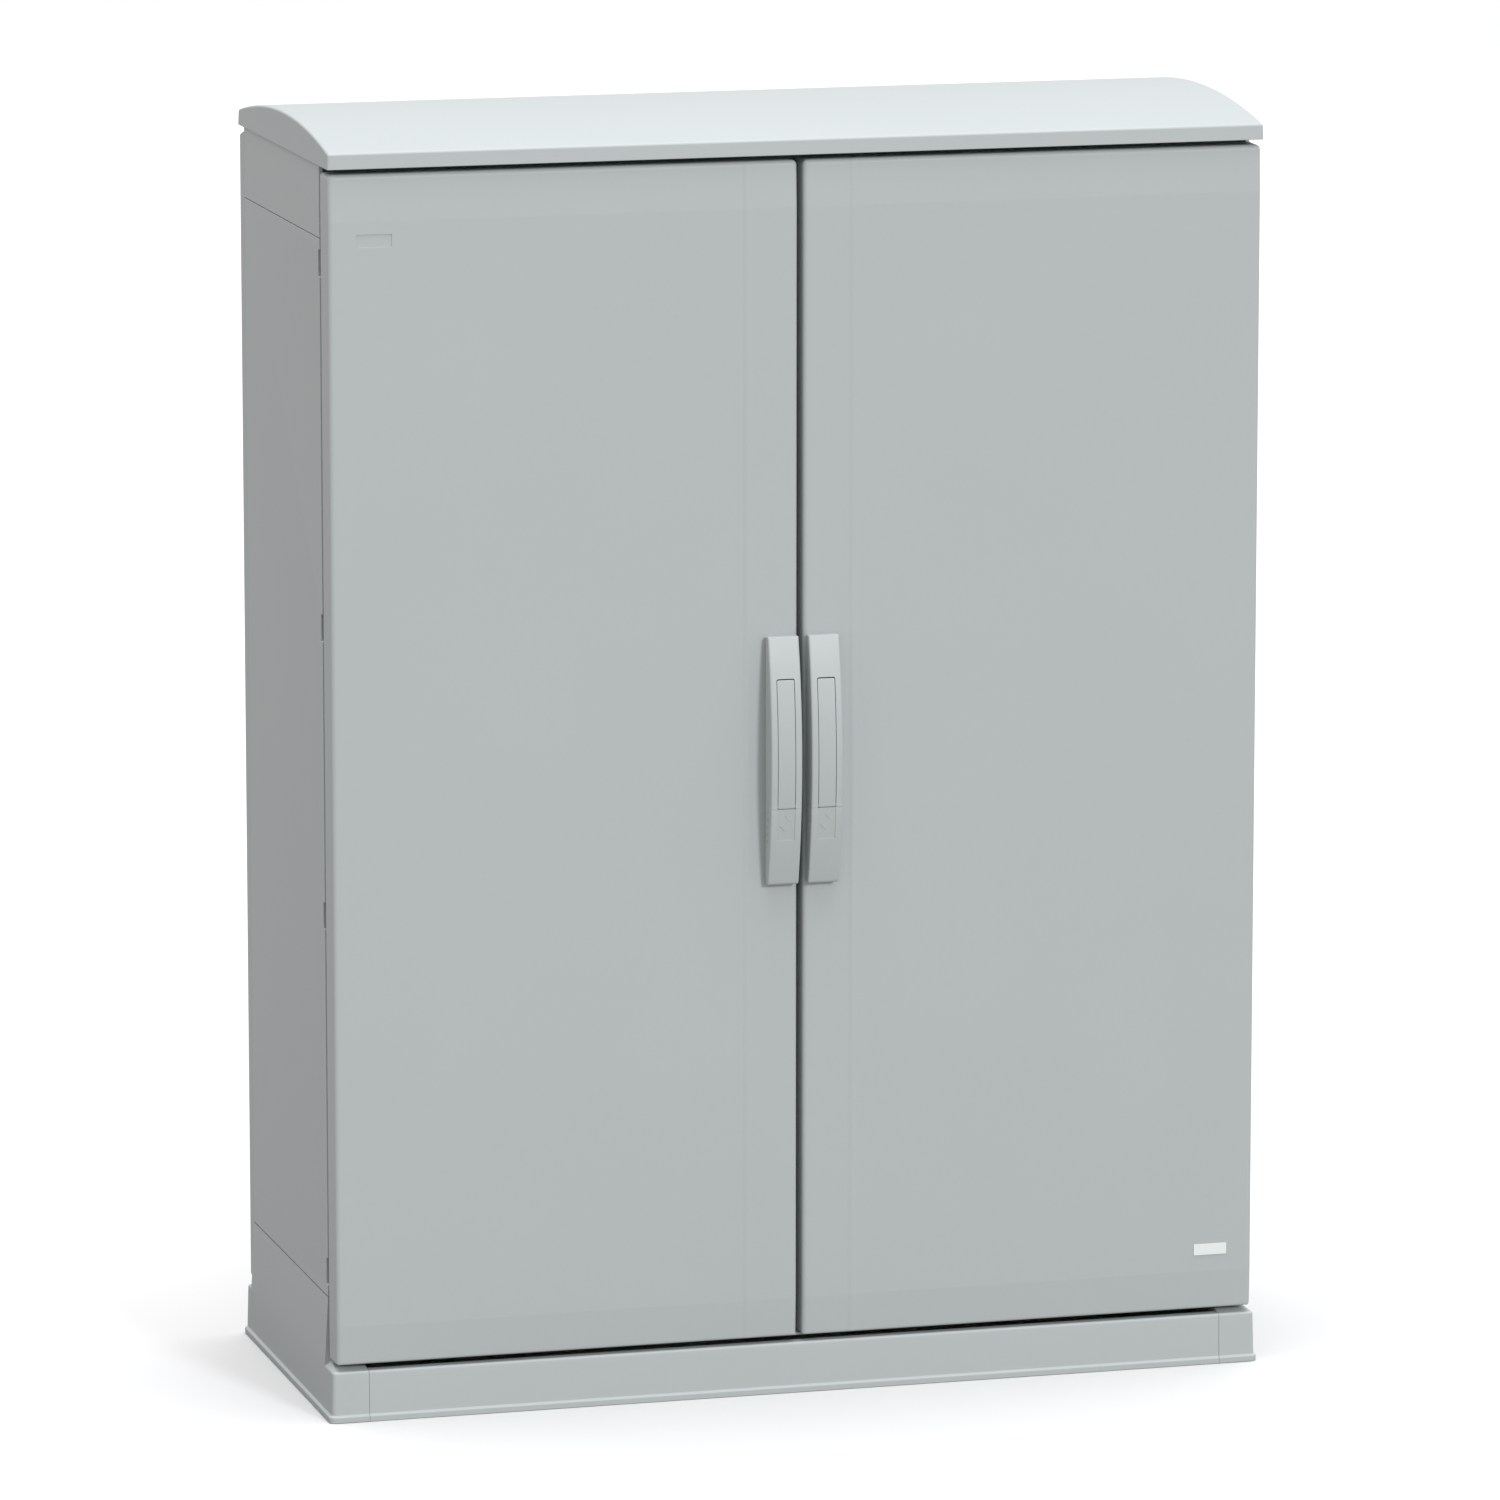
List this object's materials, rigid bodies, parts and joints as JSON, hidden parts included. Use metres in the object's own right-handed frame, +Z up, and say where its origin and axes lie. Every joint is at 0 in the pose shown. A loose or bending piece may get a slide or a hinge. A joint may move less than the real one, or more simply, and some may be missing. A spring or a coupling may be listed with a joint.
{
  "type": "switchboard cabinet",
  "caption": "Floor-standing polyester switchboard cabinet with double doors, swing handles, arched rain canopy and plinth.",
  "frame": {"origin": "centre of the rectangle of floor bolts, on the floor", "axes": "+Z up, doors face -Y, +X to the right of someone facing the doors"},
  "size_m": [1.016, 0.444, 1.3495],
  "materials": {
    "body_polyester": "light grey moulded glass-fibre polyester, satin",
    "door_polyester": "light grey moulded glass-fibre polyester, satin",
    "frame_polyester": "light grey moulded glass-fibre polyester, matt",
    "handle_polyamide": "light grey moulded polyamide, satin",
    "black_polyamide": "black moulded polyamide",
    "seal_foam": "foamed polyurethane",
    "galvanised_steel": "zinc-plated sheet steel",
    "stainless_steel": "turned stainless steel",
    "zinc_alloy": "die-cast zinc",
    "plate_film": "plain pale film plate"
  },
  "bodies": {
    "root": {"back_cover": "body_polyester", "back_screws": "stainless_steel", "base_screws": "galvanised_steel", "bottom_rail": "frame_polyester", "canopy": "body_polyester", "canopy_screws": "galvanised_steel", "central_upright": "frame_polyester", "door_stile_left": "frame_polyester", "door_stile_right": "frame_polyester", "earth_studs": "galvanised_steel", "floor_rail_back": "galvanised_steel", "floor_rail_front": "galvanised_steel", "gland_plate": "galvanised_steel", "hinge_brackets": "galvanised_steel", "hinge_pins": "stainless_steel", "mounting_plate": "galvanised_steel", "mounting_plate_screws": "galvanised_steel", "mounting_rail_left": "galvanised_steel", "mounting_rail_right": "galvanised_steel", "plinth_back_panel": "body_polyester", "plinth_front_panel": "body_polyester", "plinth_side_left": "body_polyester", "plinth_side_right": "body_polyester", "rod_keepers": "galvanised_steel", "roof_plate": "frame_polyester", "side_panel_left": "body_polyester", "side_panel_right": "body_polyester", "top_rail": "frame_polyester", "top_side_left": "body_polyester", "top_side_right": "body_polyester"},
    "door_left": {"door_seal_left": "seal_foam", "door_shell_left": "door_polyester", "handle_base_left": "handle_polyamide", "hinge_arms_left": "galvanised_steel", "lock_case_left": "black_polyamide", "rod_guides_left": "black_polyamide"},
    "spindle_left": {"lift_pin_left": "stainless_steel", "spindle_left": "zinc_alloy"},
    "lever_left": {"grip_left": "handle_polyamide", "lever_left": "handle_polyamide"},
    "flap_left": {"flap_left": "handle_polyamide"},
    "lock_insert_left": {"lock_insert_left": "zinc_alloy"},
    "upper_rod_left": {"upper_rod_left": "galvanised_steel"},
    "lower_rod_left": {"lower_rod_left": "galvanised_steel"},
    "door_right": {"door_seal_right": "seal_foam", "door_shell_right": "door_polyester", "handle_base_right": "handle_polyamide", "hinge_arms_right": "galvanised_steel", "lock_case_right": "black_polyamide", "nameplate": "plate_film", "rod_guides_right": "black_polyamide"},
    "spindle_right": {"lift_pin_right": "stainless_steel", "spindle_right": "zinc_alloy"},
    "lever_right": {"grip_right": "handle_polyamide", "lever_right": "handle_polyamide"},
    "flap_right": {"flap_right": "handle_polyamide"},
    "lock_insert_right": {"lock_insert_right": "zinc_alloy"},
    "upper_rod_right": {"upper_rod_right": "galvanised_steel"},
    "lower_rod_right": {"lower_rod_right": "galvanised_steel"}
  },
  "joints": [
    {"name": "door_left_hinge", "type": "hinge", "parent": "root", "child": "door_left", "pos_m": [-0.49, -0.1525, 0.6824], "axis": [0, 0, -1], "range_deg": [0, 110]},
    {"name": "handle_left_turn", "type": "hinge", "parent": "door_left", "child": "spindle_left", "pos_m": [-0.0219, -0.207, 0.7985], "axis": [0, 1, 0], "range_deg": [0, 90]},
    {"name": "handle_left_lift", "type": "hinge", "parent": "spindle_left", "child": "lever_left", "pos_m": [-0.0219, -0.2134, 0.8055], "axis": [-1, 0, 0], "range_deg": [0, 15]},
    {"name": "flap_left_hinge", "type": "hinge", "parent": "lever_left", "child": "flap_left", "pos_m": [-0.0219, -0.23034, 0.634], "axis": [1, 0, 0], "range_deg": [0, 90]},
    {"name": "lock_left_turn", "type": "hinge", "parent": "lever_left", "child": "lock_insert_left", "pos_m": [-0.0219, -0.22, 0.706], "axis": [0, 1, 0], "range_deg": [0, 90]},
    {"name": "upper_rod_left_slide", "type": "slide", "parent": "door_left", "child": "upper_rod_left", "axis": [0, 0, -1], "range_m": [0, 0.0145]},
    {"name": "lower_rod_left_slide", "type": "slide", "parent": "door_left", "child": "lower_rod_left", "axis": [0, 0, 1], "range_m": [0, 0.0145]},
    {"name": "door_right_hinge", "type": "hinge", "parent": "root", "child": "door_right", "pos_m": [0.49, -0.1525, 0.6824], "axis": [0, 0, 1], "range_deg": [0, 110]},
    {"name": "handle_right_turn", "type": "hinge", "parent": "door_right", "child": "spindle_right", "pos_m": [0.0219, -0.207, 0.7985], "axis": [0, -1, 0], "range_deg": [0, 90]},
    {"name": "handle_right_lift", "type": "hinge", "parent": "spindle_right", "child": "lever_right", "pos_m": [0.0219, -0.2134, 0.8055], "axis": [-1, 0, 0], "range_deg": [0, 15]},
    {"name": "flap_right_hinge", "type": "hinge", "parent": "lever_right", "child": "flap_right", "pos_m": [0.0219, -0.23034, 0.634], "axis": [1, 0, 0], "range_deg": [0, 90]},
    {"name": "lock_right_turn", "type": "hinge", "parent": "lever_right", "child": "lock_insert_right", "pos_m": [0.0219, -0.22, 0.706], "axis": [0, -1, 0], "range_deg": [0, 90]},
    {"name": "upper_rod_right_slide", "type": "slide", "parent": "door_right", "child": "upper_rod_right", "axis": [0, 0, -1], "range_m": [0, 0.0145]},
    {"name": "lower_rod_right_slide", "type": "slide", "parent": "door_right", "child": "lower_rod_right", "axis": [0, 0, 1], "range_m": [0, 0.0145]}
  ],
  "couplings": [
    {"joint": "upper_rod_left_slide", "follows": "handle_left_turn", "m_per_rad": 0.009},
    {"joint": "lower_rod_left_slide", "follows": "handle_left_turn", "m_per_rad": 0.009},
    {"joint": "upper_rod_right_slide", "follows": "handle_right_turn", "m_per_rad": 0.009},
    {"joint": "lower_rod_right_slide", "follows": "handle_right_turn", "m_per_rad": 0.009}
  ]
}
